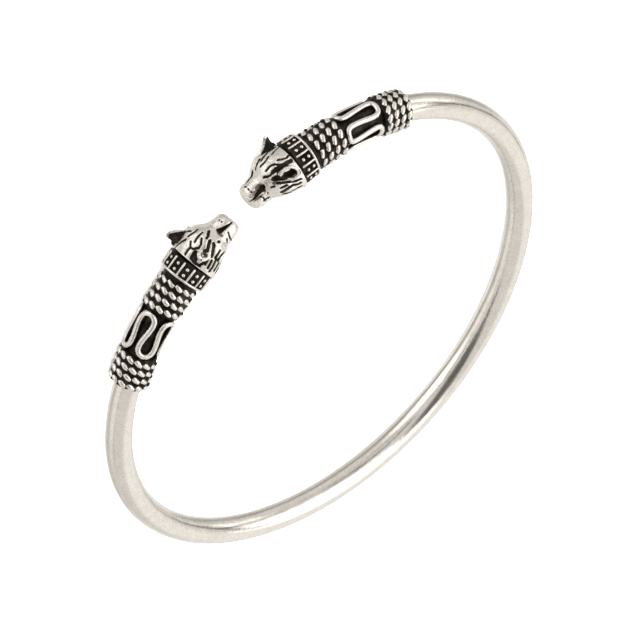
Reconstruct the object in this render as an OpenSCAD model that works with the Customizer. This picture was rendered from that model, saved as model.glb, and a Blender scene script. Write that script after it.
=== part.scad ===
// An open silver bangle lying on its side. A plain round wire is bent to an open ring, and each end
// is bound with twisted wire and a bent wave of wire and carries a collar and a cast cat's head.
// +Z is up and the gap between the heads faces -Y. The origin is on the floor, under the middle of
// the outline. The ring leans a little, because the collars are thicker than the wire at its back.

/* [Hoop] */
// Radius of the wire's centre line round the back
back_r = 31; // [29:0.5:36]
// Radius of the wire's centre line at the two ends
end_r = 28.3; // [27:0.1:29]
// Angle from the back to the change of radius
back_angle = 82; // [78:1:84]
// Diameter of the round wire
wire_d = 3.3; // [3.1:0.05:3.4]
// Gap between the two noses
nose_gap = 2.6; // [2:0.1:5]

/* [Twisted wire] */
// Thickness of the twisted wire, across both of its strands
rope_d = 0.95; // [0.85:0.01:0.97]
// Distance from one turn to the next
rope_pitch = 1.03; // [1.02:0.01:1.1]
// Number of turns in each winding
rope_turns = 3.45; // [2:0.05:3.5]
// Half twists of the two strands in each turn
rope_beads = 15; // [12:1:16]

/* [Wave wire] */
// Diameter of the wave wire
wave_d = 0.72; // [0.6:0.02:0.74]
// Length of the wave along the hoop, over its wire
wave_len = 5.57; // [4.6:0.01:5.7]
// Number of waves round the hoop
wave_count = 4; // [3:1:5]

/* [Collar] */
// Length of the collar
collar_len = 2.2; // [2:0.1:3]
// Diameter over the collar's rim at the head
collar_front_d = 6.15; // [6:0.05:6.4]
// Diameter over the collar's rim at the winding
collar_rear_d = 5.8; // [5.6:0.05:6]
// Panels round the collar, with a bar between each two
panels = 13; // [10:1:14]
// Diameter of the two grains in each panel
grain_d = 0.56; // [0.4:0.02:0.6]

/* [Head] */
// Length of the head from the collar to the nose
head_len = 6.7; // [6:0.1:7.5]
// Distance of the ear's tip from the head's axis
ear_reach = 4.85; // [4.4:0.05:5]
// Angle of each ear from the top of the head
ear_angle = 38; // [32:1:40]
// Width of the carved grooves
groove_w = 0.24; // [0.16:0.02:0.3]

/* [Hidden] */

// Clearance between neighbouring pieces
seam = 0.03;

// Step and overlap where each end's arc is let into the arc round the back
let_in = 0.01;
let_in_angle = 1;

// Distances along the wire from the middle of the gap, one after the other
nose_s = nose_gap / 2;
head_s = nose_s + head_len;
collar_s = head_s + seam;
rope_front_s = collar_s + collar_len + 0.25;
rope_len = rope_turns * rope_pitch + rope_d;
wave_s = rope_front_s + rope_len + seam;
rope_rear_s = wave_s + wave_len + seam;
wire_end_s = collar_s + 0.9;

// Centre of each end's arc, and the direction from there to the middle of the gap
end_x = (back_r - end_r) * sin(back_angle);
end_y = (back_r - end_r) * cos(back_angle);
gap_dir = -90 - asin(end_x / end_r);
deg_per_mm = 180 / (PI * end_r);

// Lean of the ring on a flat floor, and the place of the origin under its outline
wire_r = wire_d / 2;
collar_y = end_y + end_r * sin(gap_dir + collar_s * deg_per_mm);
lean = atan((collar_front_d / 2 - wire_r) / (back_r - collar_y));
floor_z = wire_r + back_r * sin(lean);
front_reach = 31.48;
shift_y = (front_reach - back_r - wire_r) / 2;

rope_r = wire_r + seam + rope_d / 2;
wave_r = wire_r + seam + wave_d / 2;

// Sections of the head, from the collar to the nose. Columns: distance from the collar as a share
// of the head's length, height of the section's centre above the axis, half its height and half
// its width.
head_rows = [
    [0.00, 0.00, 3.02, 3.02],
    [0.12, 0.30, 2.96, 3.02],
    [0.26, 0.58, 2.80, 2.98],
    [0.40, 0.78, 2.52, 2.84],
    [0.50, 0.84, 2.28, 2.62],
    [0.57, 0.72, 2.02, 2.32],
    [0.63, 0.50, 1.82, 2.04],
    [0.70, 0.22, 1.70, 1.84],
    [0.80, 0.08, 1.64, 1.72],
    [0.89, 0.02, 1.56, 1.60],
    [0.95, 0.00, 1.36, 1.36],
    [0.985, 0.00, 1.00, 1.00],
    [1.00, 0.00, 0.56, 0.56]];
head_sides = 20;

// Grooves carved on each side of the head. Columns: share of the head's length and angle from the
// top of the head at one end, then the same at the other end.
grooves = [
    [0.04, 13, 0.19, 11],
    [0.28, 9, 0.46, 13],
    [0.30, 27, 0.44, 21],
    [0.40, 39, 0.52, 30],
    [0.02, 30, 0.16, 27],
    [0.30, 76, 0.45, 70],
    [0.06, 92, 0.34, 86],
    [0.08, 104, 0.36, 100],
    [0.06, 116, 0.30, 114]];

// A point at a distance along the wire from the gap, outward from its centre line and up
function arc_point(s, out, up) = let (a = gap_dir + s * deg_per_mm)
    [end_x + (end_r + out) * cos(a), end_y + (end_r + out) * sin(a), up];

// Faces of a tube whose points are rings of equal size, closed on itself or capped at its ends
function tube_faces(rings, sides, closed) = concat(
    [for (i = [0:rings - (closed ? 1 : 2)]) for (k = [0:sides - 1])
        let (j = (i + 1) % rings, m = (k + 1) % sides)
        each [[i * sides + k, j * sides + k, j * sides + m],
              [i * sides + k, j * sides + m, i * sides + m]]],
    closed ? [] : [[for (k = [0:sides - 1]) k],
                   [for (k = [sides - 1:-1:0]) (rings - 1) * sides + k]]);

// Outline of two strands side by side, turned by an angle: outward and sideways from the centre
strand_r = rope_d / 4;
strand_outline = [[2, 0], [1, 1], [-1, 1], [-2, 0], [-1, -1], [1, -1]] * strand_r;
function strand_point(k, a) = let (p = strand_outline[k])
    [p[0] * cos(a) - p[1] * sin(a), p[0] * sin(a) + p[1] * cos(a)];

// Both ends are the same casting and windings, so the left end is the right one turned over
module at_end(side) {
    rotate([0, side == "left" ? 180 : 0, 0]) children();
}

// Frame at a distance from the gap: +X away from the ring's centre, +Z along the wire to the nose
module on_wire(s) {
    translate([end_x, end_y, 0])
        rotate([0, 0, gap_dir + s * deg_per_mm])
            translate([end_r, 0, 0])
                rotate([90, 0, 0])
                    children();
}

// The ring's own plane, laid on the floor
module lay_down() {
    translate([0, shift_y, floor_z]) rotate([-lean, 0, 0]) children();
}

// The plain round wire: one arc round the back and a tighter one to each end
module hoop() {
    from = gap_dir + wire_end_s * deg_per_mm;
    color("silver") lay_down() union() {
        rotate([0, 0, 90 - back_angle])
            bent_wire(back_r, wire_r, 2 * back_angle);
        for (side = ["left", "right"]) at_end(side)
            translate([end_x, end_y, 0]) rotate([0, 0, from])
                bent_wire(end_r, wire_r - let_in, 90 - back_angle - from + let_in_angle);
    }
}

// Round wire bent to an arc
module bent_wire(bend_r, r, angle) {
    rotate_extrude(angle = angle, $fn = 180) translate([bend_r, 0]) circle(r, $fn = 32);
}

// Two strands twisted together and wound round the hoop, from a distance along it
module rope(side, from_s) {
    start_angle = side == "left" ? 57 : 123;
    steps = ceil(rope_turns * rope_beads * 3);
    color("gainsboro") lay_down() at_end(side) polyhedron(
        points = [for (i = [0:steps]) for (k = [0:5])
            let (turn = rope_turns * i / steps, a = start_angle - 360 * turn,
                 p = strand_point(k, -180 * turn * rope_beads), r = rope_r + p[0])
            arc_point(from_s + rope_d / 2 + turn * rope_pitch + p[1], r * cos(a), r * sin(a))],
        faces = tube_faces(steps + 1, 6, false));
}

// Centre line of the wave: angle round the hoop and distance along it, for a share of one round.
// A bend made by hand has its turn round the hoop, the lean of its loops, how far each swells
// beyond its neck as a share of one wave, the angle where the loops crowd and how much they do.
wave_amp = (wave_len - wave_d) / 2;
function wave_point(t, bend) = let (
        phase = 360 * t * wave_count,
        a = 360 * t + bend[0] + bend[1] * sin(phase) - bend[2] * 360 / wave_count * sin(2 * phase))
    [a - bend[4] * sin(a - bend[3]), wave_s + wave_len / 2 + wave_amp * sin(phase)];
function wave_place(p, out) = arc_point(p[1], (wave_r + out) * cos(p[0]), (wave_r + out) * sin(p[0]));

// A round wire bent to a wave and closed round the hoop
module wave(side, bend) {
    steps = wave_count * 20;
    color("gainsboro") lay_down() at_end(side) polyhedron(
        points = [for (i = [0:steps - 1])
            let (p = wave_point(i / steps, bend),
                 c = wave_place(p, 0),
                 up = wave_place(p, 1) - c,
                 ahead = wave_place(wave_point((i + 0.1) / steps, bend), 0) - c,
                 across = cross(ahead, up) / norm(cross(ahead, up)))
            for (k = [0:5]) c + wave_d / 2 * (cos(60 * k) * across + sin(60 * k) * up)],
        faces = tube_faces(steps, 6, true));
}

// The collar: a socket for the wire's end, a rim at each side, bars and pairs of grains. Its front
// is filed flush with the back of the head.
rim_w = 0.3;
core_front_r = collar_front_d / 2 - 0.38;
core_rear_r = collar_rear_d / 2 - 0.32;
grain_step = (collar_len - 2 * rim_w) / 2;
core_slope = (core_front_r - core_rear_r) / collar_len;
socket_depth = 1.4;
module collar(side) {
    first_bar = side == "left" ? -3.3 : 22.6;
    color("gainsboro") lay_down() at_end(side) difference() {
        on_wire(collar_s + collar_len) union() {
            rotate_extrude($fn = 64) difference() {
                union() {
                    polygon([[0, 0], [core_rear_r, 0], [core_front_r, collar_len], [0, collar_len]]);
                    rim(collar_rear_d / 2, 0);
                    rim(collar_front_d / 2, collar_len - rim_w);
                }
                translate([0, -1]) square([wire_r + seam, 1 + socket_depth]);
            }
            for (i = [0:panels - 1]) rotate([0, 0, first_bar + 360 * i / panels])
                translate([core_rear_r, 0, 0]) rotate([0, atan(core_slope), 0])
                    translate([-0.2, -0.14, 0.1]) cube([0.44, 0.28, collar_len - 0.2]);
            for (i = [0:panels - 1]) for (k = [0.5, 1.5]) let (h = rim_w + k * grain_step)
                rotate([0, 0, first_bar + 360 * (i + 0.5) / panels])
                    translate([core_rear_r + core_slope * h, 0, h]) rotate([0, 90, 0]) grain();
        }
        on_wire(collar_s) cylinder(d = collar_front_d + 1, h = 1);
    }
}

// A grain of silver, a third of it sunk in the collar's core
module grain() {
    r = grain_d / 2;
    rotate_extrude($fn = 16)
        polygon([[0, -0.2], [r, -0.2], [r, 0.06], [r * 0.8, 0.17], [r * 0.4, 0.24], [0, 0.24]]);
}

// Outline of a rounded band that stands on the collar's core
module rim(r, h) {
    translate([r - rim_w / 2, h + rim_w / 2]) circle(d = rim_w, $fn = 16);
    translate([r - rim_w / 2 - 0.4, h]) square([0.4, rim_w]);
}

// Height, half height and half width of the head at a share of its length
function head_at(t) = let (
        i = max([for (j = [0:len(head_rows) - 2]) if (head_rows[j][0] <= t) j]),
        a = head_rows[i], b = head_rows[i + 1], f = (t - a[0]) / (b[0] - a[0]))
    a * (1 - f) + b * f;
function skin_point(row, a, out = 0) =
    [row[1] + (row[2] + out) * cos(a), (row[3] + out) * sin(a), row[0] * head_len];

// A small ball on the head's skin, or just below it
module on_skin(t, a, d, sink = 0) {
    translate(skin_point(head_at(t), a, -sink)) sphere(d = d, $fn = 8);
}

// One cupped ear: a leaf that stands up to the rear, hollowed from the front
module ear(sign) {
    tip = [ear_reach * cos(ear_angle), sign * ear_reach * sin(ear_angle), 0.35];
    difference() {
        hull() {
            on_skin(0.32, sign * 56, 0.6, 0.3);
            on_skin(0.30, sign * 30, 0.6, 0.3);
            on_skin(0.06, sign * 26, 0.8, 0.4);
            on_skin(0.06, sign * 62, 0.8, 0.4);
            translate(tip) sphere(d = 0.36, $fn = 8);
        }
        hull() {
            on_skin(0.36, sign * 48, 0.5, -0.5);
            on_skin(0.26, sign * 54, 0.6, 0.1);
            on_skin(0.26, sign * 38, 0.6, 0.1);
            on_skin(0.12, sign * 36, 0.6, 0.1);
            on_skin(0.12, sign * 52, 0.6, 0.1);
            translate(tip + [0.5, sign * 0.1, 0.6]) sphere(d = 0.5, $fn = 8);
        }
    }
}

// The cast head: crown, muzzle and open mouth, with brows, eyes, nose, ears and carved grooves
module head(side) {
    rows = len(head_rows);
    color("silver") lay_down() at_end(side) on_wire(head_s) union() {
        difference() {
            polyhedron(
                points = [for (row = head_rows) for (k = [0:head_sides - 1])
                    skin_point(row, 360 * k / head_sides)],
                faces = tube_faces(rows, head_sides, false));
            mouth();
            for (g = grooves) for (sign = [-1, 1]) hull() {
                on_skin(g[0], sign * g[1], groove_w);
                on_skin(g[2], sign * g[3], groove_w);
            }
        }
        for (sign = [-1, 1]) {
            ear(sign);
            brow_and_eye(sign);
        }
        nose_pad();
    }
}

// The mouth: a slit from the front that widens towards its corners
module mouth() {
    hull() {
        translate([-0.42, -2.4, head_len]) cube([0.14, 4.8, 0.2]);
        translate([-0.7, -2.4, head_len * 0.62]) cube([0.6, 4.8, 0.1]);
        translate([-0.5, -2.4, head_len * 0.57]) cube([0.3, 4.8, 0.1]);
    }
}

// A raised brow over a slanting eye
module brow_and_eye(sign) {
    hull() {
        on_skin(0.58, sign * 28, 0.5, 0.1);
        on_skin(0.44, sign * 50, 0.6, 0.1);
    }
    hull() {
        on_skin(0.60, sign * 44, 0.34, 0.05);
        on_skin(0.50, sign * 58, 0.34, 0.05);
    }
}

// The nose's pad, over the front of the mouth
module nose_pad() {
    hull() for (sign = [-1, 1]) {
        on_skin(0.88, sign * 26, 0.6, 0.2);
        on_skin(0.96, sign * 38, 0.5, 0.2);
    }
}

hoop();
rope("left", rope_rear_s);  // rope_rear_left
wave("left", [51.5, 5, 0.17, 0, 0]);  // wave_left
rope("left", rope_front_s);  // rope_front_left
collar("left");  // collar_left
head("left");  // head_left
rope("right", rope_rear_s);  // rope_rear_right
wave("right", [36, -1, 0.22, 36, 5]);  // wave_right
rope("right", rope_front_s);  // rope_front_right
collar("right");  // collar_right
head("right");  // head_right
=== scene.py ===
import bmesh
import bpy
import math
import numpy as np
from mathutils import Matrix


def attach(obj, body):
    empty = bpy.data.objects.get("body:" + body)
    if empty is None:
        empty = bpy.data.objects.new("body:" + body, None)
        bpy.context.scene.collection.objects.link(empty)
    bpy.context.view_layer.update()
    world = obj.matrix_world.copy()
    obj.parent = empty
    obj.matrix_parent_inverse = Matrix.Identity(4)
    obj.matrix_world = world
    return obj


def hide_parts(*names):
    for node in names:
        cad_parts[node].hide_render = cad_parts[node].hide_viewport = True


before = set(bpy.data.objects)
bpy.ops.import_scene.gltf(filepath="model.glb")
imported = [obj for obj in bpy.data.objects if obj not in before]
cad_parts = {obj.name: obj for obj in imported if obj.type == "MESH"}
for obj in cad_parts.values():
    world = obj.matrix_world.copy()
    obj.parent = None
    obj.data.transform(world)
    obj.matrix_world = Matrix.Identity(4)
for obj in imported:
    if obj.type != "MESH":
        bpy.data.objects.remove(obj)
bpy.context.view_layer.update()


# The hoop: one length of round silver wire, bent to a wide arc round the back and to a tighter arc
# at each end. It is polished, and black only where it is bound: there the patina was left, and
# solder fills the roots of the windings. Sizes are in mm, and s is measured along it from the gap.
BACK_R, END_R, BACK_ANGLE = 31.0, 28.3, math.radians(82)
WIRE_R, FRONT_REACH, COLLAR_D = 1.65, 31.48, 6.15
COLLAR_S, BOUND_END_S = 8.03, 24.95

end_x = (BACK_R - END_R) * math.sin(BACK_ANGLE)
end_y = (BACK_R - END_R) * math.cos(BACK_ANGLE)
gap_angle = -math.pi / 2 - math.asin(end_x / END_R)
collar_y = end_y + END_R * math.sin(gap_angle + COLLAR_S / END_R)
lean = math.atan((COLLAR_D / 2 - WIRE_R) / (BACK_R - collar_y))
floor_z = WIRE_R + BACK_R * math.sin(lean)
shift_y = (FRONT_REACH - BACK_R - WIRE_R) / 2


def lay_down(side, ring):
    """Points of the ring's own plane, in mm, as they lie on the floor, in metres."""
    p = np.asarray(ring, float) * ((-1, 1, -1) if side == "left" else (1, 1, 1))
    x, y, z = p[..., 0], p[..., 1], p[..., 2]
    c, s = math.cos(lean), math.sin(lean)
    return np.stack((x, y * c + z * s + shift_y, z * c - y * s + floor_z), -1) / 1000


def on_wire(s, out, up):
    """A point at a distance along one end's wire from the gap, outward from its axis and up."""
    a = gap_angle + np.asarray(s) / END_R
    return np.stack((end_x + (END_R + out) * np.cos(a), end_y + (END_R + out) * np.sin(a),
                     up + np.zeros_like(a)), -1)


def mesh_object(name, points, faces):
    """A smooth piece at the origin, from points in metres."""
    mesh = bpy.data.meshes.new(name)
    mesh.from_pydata([tuple(p) for p in points], [], faces)
    mesh.validate()
    piece = bpy.data.objects.new(name, mesh)
    bpy.context.collection.objects.link(piece)
    mesh.polygons.foreach_set("use_smooth", [True] * len(mesh.polygons))
    return piece


def tube_faces(rings, sides):
    """The faces of a tube through rings of points, with its two ends last."""
    faces = [(i * sides + k, (i + 1) * sides + k,
              (i + 1) * sides + (k + 1) % sides, i * sides + (k + 1) % sides)
             for i in range(rings - 1) for k in range(sides)]
    return faces + [tuple(range(sides)), tuple(reversed(range((rings - 1) * sides, rings * sides)))]


def outward(piece):
    """Turns all of a closed piece's faces to the outside."""
    b = bmesh.new()
    b.from_mesh(piece.data)
    bmesh.ops.recalc_face_normals(b, faces=b.faces)
    b.to_mesh(piece.data)
    b.free()


def paint(piece, black):
    """Stores how black each point is, from 0 for bright silver to 1 for full patina; on the heads
    it also holds painted shade.
    """
    a = piece.data.attributes.new("patina", "FLOAT", "POINT")
    a.data.foreach_set("value", np.clip(np.asarray(black, np.float32), 0, 1))


def soft_step(x, low, high):
    """0 at low, 1 at high and a soft step between them; low may be the larger."""
    t = np.clip((np.asarray(x, float) - low) / (high - low), 0, 1)
    return t * t * (3 - 2 * t)


def sockets(group, ins, outs):
    """Gives a node group its inputs and outputs, and the nodes that stand for them inside."""
    for name, kind, value in ins:
        s = group.interface.new_socket(name, in_out="INPUT", socket_type=kind)
        if value is not None:
            s.default_value = value
    for name, kind in outs:
        group.interface.new_socket(name, in_out="OUTPUT", socket_type=kind)
    return group.nodes.new("NodeGroupInput"), group.nodes.new("NodeGroupOutput")


# Patina and wear, shared by the polished wire and the blackened parts: where the sulphur's black
# was rubbed off the silver shows, with an uneven edge, a little haze and fine rubbing marks.
# On the heads the mask read here also holds painted shade and one painted dark reflection.
SILVER, BLACK = (0.945, 0.905, 0.845, 1), (0.010, 0.0085, 0.007, 1)
HAZED, STAINED, BROWN = (0.47, 0.42, 0.35, 1), (0.24, 0.19, 0.13, 1), (0.042, 0.034, 0.027, 1)
wear = bpy.data.node_groups.new("rubbed patina", "ShaderNodeTree")
n_in, n_out = sockets(
    wear,
    [("Silver", "NodeSocketColor", SILVER), ("Black", "NodeSocketColor", BLACK),
     ("Haze", "NodeSocketFloat", 0.1), ("Edge", "NodeSocketFloat", 0.25),
     ("Polish", "NodeSocketFloat", 0.16), ("Marks", "NodeSocketFloat", 0.02)],
    [("Color", "NodeSocketColor"), ("Roughness", "NodeSocketFloat"),
     ("Metallic", "NodeSocketFloat"), ("Height", "NodeSocketFloat")])


def node(tree, kind, **values):
    """A new node; in_2=... sets its input number 2, and any other name one of its settings."""
    n = tree.nodes.new(kind)
    for key, value in values.items():
        if key.startswith("in_"):
            n.inputs[int(key[3:])].default_value = value
        else:
            setattr(n, key, value)
    return n


def wire(a, b):
    """Joins an output to an input of the same tree."""
    a.id_data.links.new(a, b)


def math_node(tree, operation, a, b=None, c=None, clamp=False):
    n = node(tree, "ShaderNodeMath", operation=operation, use_clamp=clamp)
    for i, v in enumerate((a, b, c)):
        if isinstance(v, (int, float)):
            n.inputs[i].default_value = v
        elif v is not None:
            wire(v, n.inputs[i])
    return n.outputs[0]


def eased(tree, value, low, high):
    """The same soft step as soft_step, as a node."""
    n = node(tree, "ShaderNodeMapRange", interpolation_type="SMOOTHSTEP", in_1=low, in_2=high)
    wire(value, n.inputs[0])
    return n.outputs[0]


def noise(scale, detail, roughness):
    """Soft spots all over a piece, so many to the metre."""
    n = node(wear, "ShaderNodeTexNoise", in_2=scale, in_3=detail, in_4=roughness)
    wire(place.outputs["Object"], n.inputs["Vector"])
    return n.outputs["Fac"]


def mixed(share, one, other, blend_type="MIX"):
    """One colour led over to another, or tinted by it."""
    n = node(wear, "ShaderNodeMix", data_type="RGBA", blend_type=blend_type)
    for i, v in ((0, share), (6, one), (7, other)):
        if isinstance(v, tuple):
            n.inputs[i].default_value = v
        else:
            wire(v, n.inputs[i])
    return n.outputs[2]


place = node(wear, "ShaderNodeTexCoord")
mask = node(wear, "ShaderNodeAttribute", attribute_name="patina")
blotch, cloud, rub = noise(4200.0, 4.0, 0.6), noise(700.0, 3.0, 0.55), noise(1500.0, 3.0, 0.55)
uneven = math_node(wear, "SUBTRACT", blotch, 0.5)
black = math_node(wear, "MULTIPLY", uneven, n_in.outputs["Edge"])
black = math_node(wear, "ADD", mask.outputs["Fac"], black)
black = math_node(wear, "SMOOTH_MIN", black, 1.0, 0.05, clamp=True)
covered = eased(wear, black, 0.38, 0.66)
haze = math_node(wear, "MULTIPLY_ADD", uneven, 1.8, cloud, clamp=True)
haze = math_node(wear, "MULTIPLY", haze, n_in.outputs["Haze"])
bare = mixed(haze, n_in.outputs["Silver"], HAZED, "MULTIPLY")
bare = mixed(eased(wear, black, 0.24, 0.52), bare, STAINED)
coat = mixed(eased(wear, cloud, 0.45, 0.75), n_in.outputs["Black"], BROWN)
wire(mixed(covered, bare, coat), n_out.inputs["Color"])
rough = math_node(wear, "MULTIPLY_ADD", cloud, 0.05, n_in.outputs["Polish"])
rough = math_node(wear, "MULTIPLY_ADD", covered, 0.28, rough)
wire(rough, n_out.inputs["Roughness"])
wire(math_node(wear, "MULTIPLY_ADD", covered, -0.1, 1.0), n_out.inputs["Metallic"])
height = math_node(wear, "MULTIPLY", rub, n_in.outputs["Marks"])
finer = math_node(wear, "MULTIPLY", n_in.outputs["Marks"], 1.5)
wire(math_node(wear, "MULTIPLY_ADD", blotch, finer, height), n_out.inputs["Height"])
RUB_DEPTH, DRAWN_DEPTH = 0.00006, 0.00002


def relief(tree, height, depth, under=None):
    """A bump of that depth in metres, over another one where there is one."""
    n = node(tree, "ShaderNodeBump")
    n.inputs["Strength"].default_value = 1.0
    n.inputs["Distance"].default_value = depth
    wire(height, n.inputs["Height"])
    if under:
        wire(under, n.inputs["Normal"])
    return n.outputs["Normal"]


def silver_material(name, drawn=0.0, **values):
    """Silver with its patina; drawn is the depth of the lines that the drawing die left."""
    m = bpy.data.materials.new(name)
    m.use_nodes = True
    t = m.node_tree
    shader = t.nodes["Principled BSDF"]
    group = node(t, "ShaderNodeGroup", node_tree=wear)
    for key, value in values.items():
        group.inputs[key].default_value = value
    for output, key in (("Color", "Base Color"), ("Roughness", "Roughness"),
                        ("Metallic", "Metallic")):
        wire(group.outputs[output], shader.inputs[key])
    normal = relief(t, group.outputs["Height"], RUB_DEPTH)
    if drawn:
        along = node(t, "ShaderNodeAttribute", attribute_name="along the wire")
        marks = node(t, "ShaderNodeTexNoise", in_2=5.0, in_3=4.0, in_4=0.6)
        wire(along.outputs["Vector"], marks.inputs["Vector"])
        normal = relief(t, marks.outputs["Fac"], drawn, normal)
    wire(normal, shader.inputs["Normal"])
    return m


polished = silver_material("polished silver", drawn=DRAWN_DEPTH, Haze=0.34, Edge=0.35,
                           Polish=0.02, Marks=0.12)
SIDES, END_STEPS, JOIN_STEPS, BACK_STEPS = 48, 240, 86, 260
# BARE stands for how far from the gap the bare back is, and DRAWN_OUT for how slowly the drawing
# die's lines change along the wire.
BARE, DRAWN_OUT = 60.0, 0.06
# How solder fills the roots of the windings. Columns: distance along the wire, radius there.
FILL_R, IN_SOCKET = 2.3, 0.9
FILLED = np.array([(10.15, WIRE_R), (10.22, FILL_R), (14.85, FILL_R), (15.03, WIRE_R),
                   (20.55, WIRE_R), (20.68, FILL_R), (24.4, FILL_R), (24.75, WIRE_R)])
join_s = (math.pi / 2 - BACK_ANGLE - gap_angle) * END_R
fine_to = BOUND_END_S + 0.5
end_s = np.concatenate((np.linspace(COLLAR_S + IN_SOCKET, fine_to, END_STEPS, endpoint=False),
                        np.linspace(fine_to, join_s, JOIN_STEPS, endpoint=False)))
end_centres, end_out = on_wire(end_s, 0, 0), on_wire(end_s, 1, 0) - on_wire(end_s, 0, 0)
bend = np.linspace(math.pi / 2 - BACK_ANGLE, math.pi / 2 + BACK_ANGLE, BACK_STEPS)
back_out = np.stack((np.cos(bend), np.sin(bend), 0 * bend), -1)
flip = np.array((-1, 1, 1))
centres = np.concatenate((end_centres, BACK_R * back_out, (end_centres * flip)[::-1]))
out_dirs = np.concatenate((end_out, back_out, (end_out * flip)[::-1]))
from_gap = np.concatenate((end_s, np.full(BACK_STEPS, BARE), end_s[::-1]))
around = np.linspace(0, 2 * math.pi, SIDES, endpoint=False)
thick = np.interp(from_gap, FILLED[:, 0], FILLED[:, 1])[:, None, None]
rings = centres[:, None] + thick * (np.cos(around)[None, :, None] * out_dirs[:, None]
                                    + np.sin(around)[None, :, None] * np.array((0, 0, 1.0)))
hoop = mesh_object("hoop_wire", lay_down("right", rings.reshape(-1, 3)),
                   tube_faces(len(centres), SIDES))
outward(hoop)
paint(hoop, soft_step(np.repeat(from_gap, SIDES), BOUND_END_S + 0.25, BOUND_END_S - 0.1))
lengths = np.concatenate(([0], np.cumsum(np.linalg.norm(np.diff(centres, axis=0), axis=1))))
lay = hoop.data.attributes.new("along the wire", "FLOAT_VECTOR", "POINT")
lay.data.foreach_set("vector", np.stack((
    np.tile(WIRE_R * np.cos(around), len(centres)), np.tile(WIRE_R * np.sin(around), len(centres)),
    np.repeat(lengths, SIDES) * DRAWN_OUT), -1).ravel())
hoop.data.materials.append(polished)
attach(hoop, "root")
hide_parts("hoop")


# The windings: two strands of fine wire twisted together and wound tight round the hoop, two
# lengths at each end. Blackened, then rubbed, so that only an oval on the top of each strand, where
# it rides over the other, is bright.
ROPE_D, ROPE_TURNS, SEAM = 0.95, 3.5, 0.03
STRAND_R, TWIST_OUT, TWIST_ALONG = 0.34, 0.135, 0.165
OVAL_LONG, OVAL_WIDE, OVAL_SLANT = 0.49, 0.36, math.radians(28)
STRAND_SIDES, STEPS_A_BEAD = 12, 12
rope_r = WIRE_R + SEAM + ROPE_D / 2
blackened = silver_material("blackened silver", Haze=0.12, Edge=0.28, Polish=0.12, Marks=0.7)


def finished(tree, geometry, n_in, n_out):
    """Ends a node tree: makes all copies real and sets the metal on them."""
    joined = node(tree, "GeometryNodeRealizeInstances")
    metal = node(tree, "GeometryNodeSetMaterial")
    wire(geometry, joined.inputs["Geometry"])
    wire(joined.outputs["Geometry"], metal.inputs["Geometry"])
    wire(n_in.outputs["Metal"], metal.inputs["Material"])
    wire(metal.outputs["Geometry"], n_out.inputs[0])


tube = bpy.data.node_groups.new("wire along a path", "GeometryNodeTree")
g_in, g_out = sockets(
    tube,
    [("Path", "NodeSocketGeometry", None), ("Wire radius", "NodeSocketFloat", 0.0002),
     ("Sides", "NodeSocketInt", 12), ("Metal", "NodeSocketMaterial", None)],
    [("Wire", "NodeSocketGeometry")])
as_curve = node(tube, "GeometryNodeMeshToCurve")
circle = node(tube, "GeometryNodeCurvePrimitiveCircle")
sweep = node(tube, "GeometryNodeCurveToMesh")
sweep.inputs["Fill Caps"].default_value = True
smooth = node(tube, "GeometryNodeSetShadeSmooth")
wire(g_in.outputs["Path"], as_curve.inputs["Mesh"])
wire(g_in.outputs["Sides"], circle.inputs["Resolution"])
wire(g_in.outputs["Wire radius"], circle.inputs["Radius"])
wire(as_curve.outputs["Curve"], sweep.inputs["Curve"])
wire(circle.outputs["Curve"], sweep.inputs["Profile Curve"])
wire(sweep.outputs["Mesh"], smooth.inputs["Geometry"])
finished(tube, smooth.outputs["Geometry"], g_in, g_out)


def made_by(tree, piece, **values):
    """Runs a node tree on a piece and leaves the result as a plain mesh."""
    modifier = piece.modifiers.new("make", "NODES")
    modifier.node_group = tree
    for item in tree.interface.items_tree:
        key = item.name.replace(" ", "_")
        if item.in_out == "INPUT" and key in values:
            modifier[item.identifier] = values[key]
    bpy.context.view_layer.update()
    made = bpy.data.meshes.new_from_object(
        piece.evaluated_get(bpy.context.evaluated_depsgraph_get()))
    piece.modifiers.remove(modifier)
    piece.data = made
    made.name = piece.name
    return piece


def paths(name, lines, closed=False):
    """A piece that is only the edges along each line of points."""
    points, edges = [], []
    for line in lines:
        first = len(points)
        points += [tuple(p) for p in line]
        edges += [(first + i, first + i + 1) for i in range(len(line) - 1)]
        if closed:
            edges.append((len(points) - 1, first))
    mesh = bpy.data.meshes.new(name)
    mesh.from_pydata(points, edges, [])
    piece = bpy.data.objects.new(name, mesh)
    bpy.context.collection.objects.link(piece)
    return piece


def points_of(piece):
    p = np.empty(len(piece.data.vertices) * 3)
    piece.data.vertices.foreach_get("co", p)
    return p.reshape(-1, 3)


def in_ring(side, points):
    """The reverse of lay_down: points in metres back to mm in the ring's own plane."""
    p = points * 1000
    c, s = math.cos(lean), math.sin(lean)
    y, z = p[:, 1] - shift_y, p[:, 2] - floor_z
    q = np.stack((p[:, 0], y * c - z * s, z * c + y * s), -1)
    return q * ((-1, 1, -1) if side == "left" else (1, 1, 1))


def above_axis(side, points):
    """How far each point is from the wire's axis, in mm, near one end."""
    q = in_ring(side, points) - (end_x, end_y, 0)
    return np.hypot(np.hypot(q[:, 0], q[:, 1]) - END_R, q[:, 2])


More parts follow.
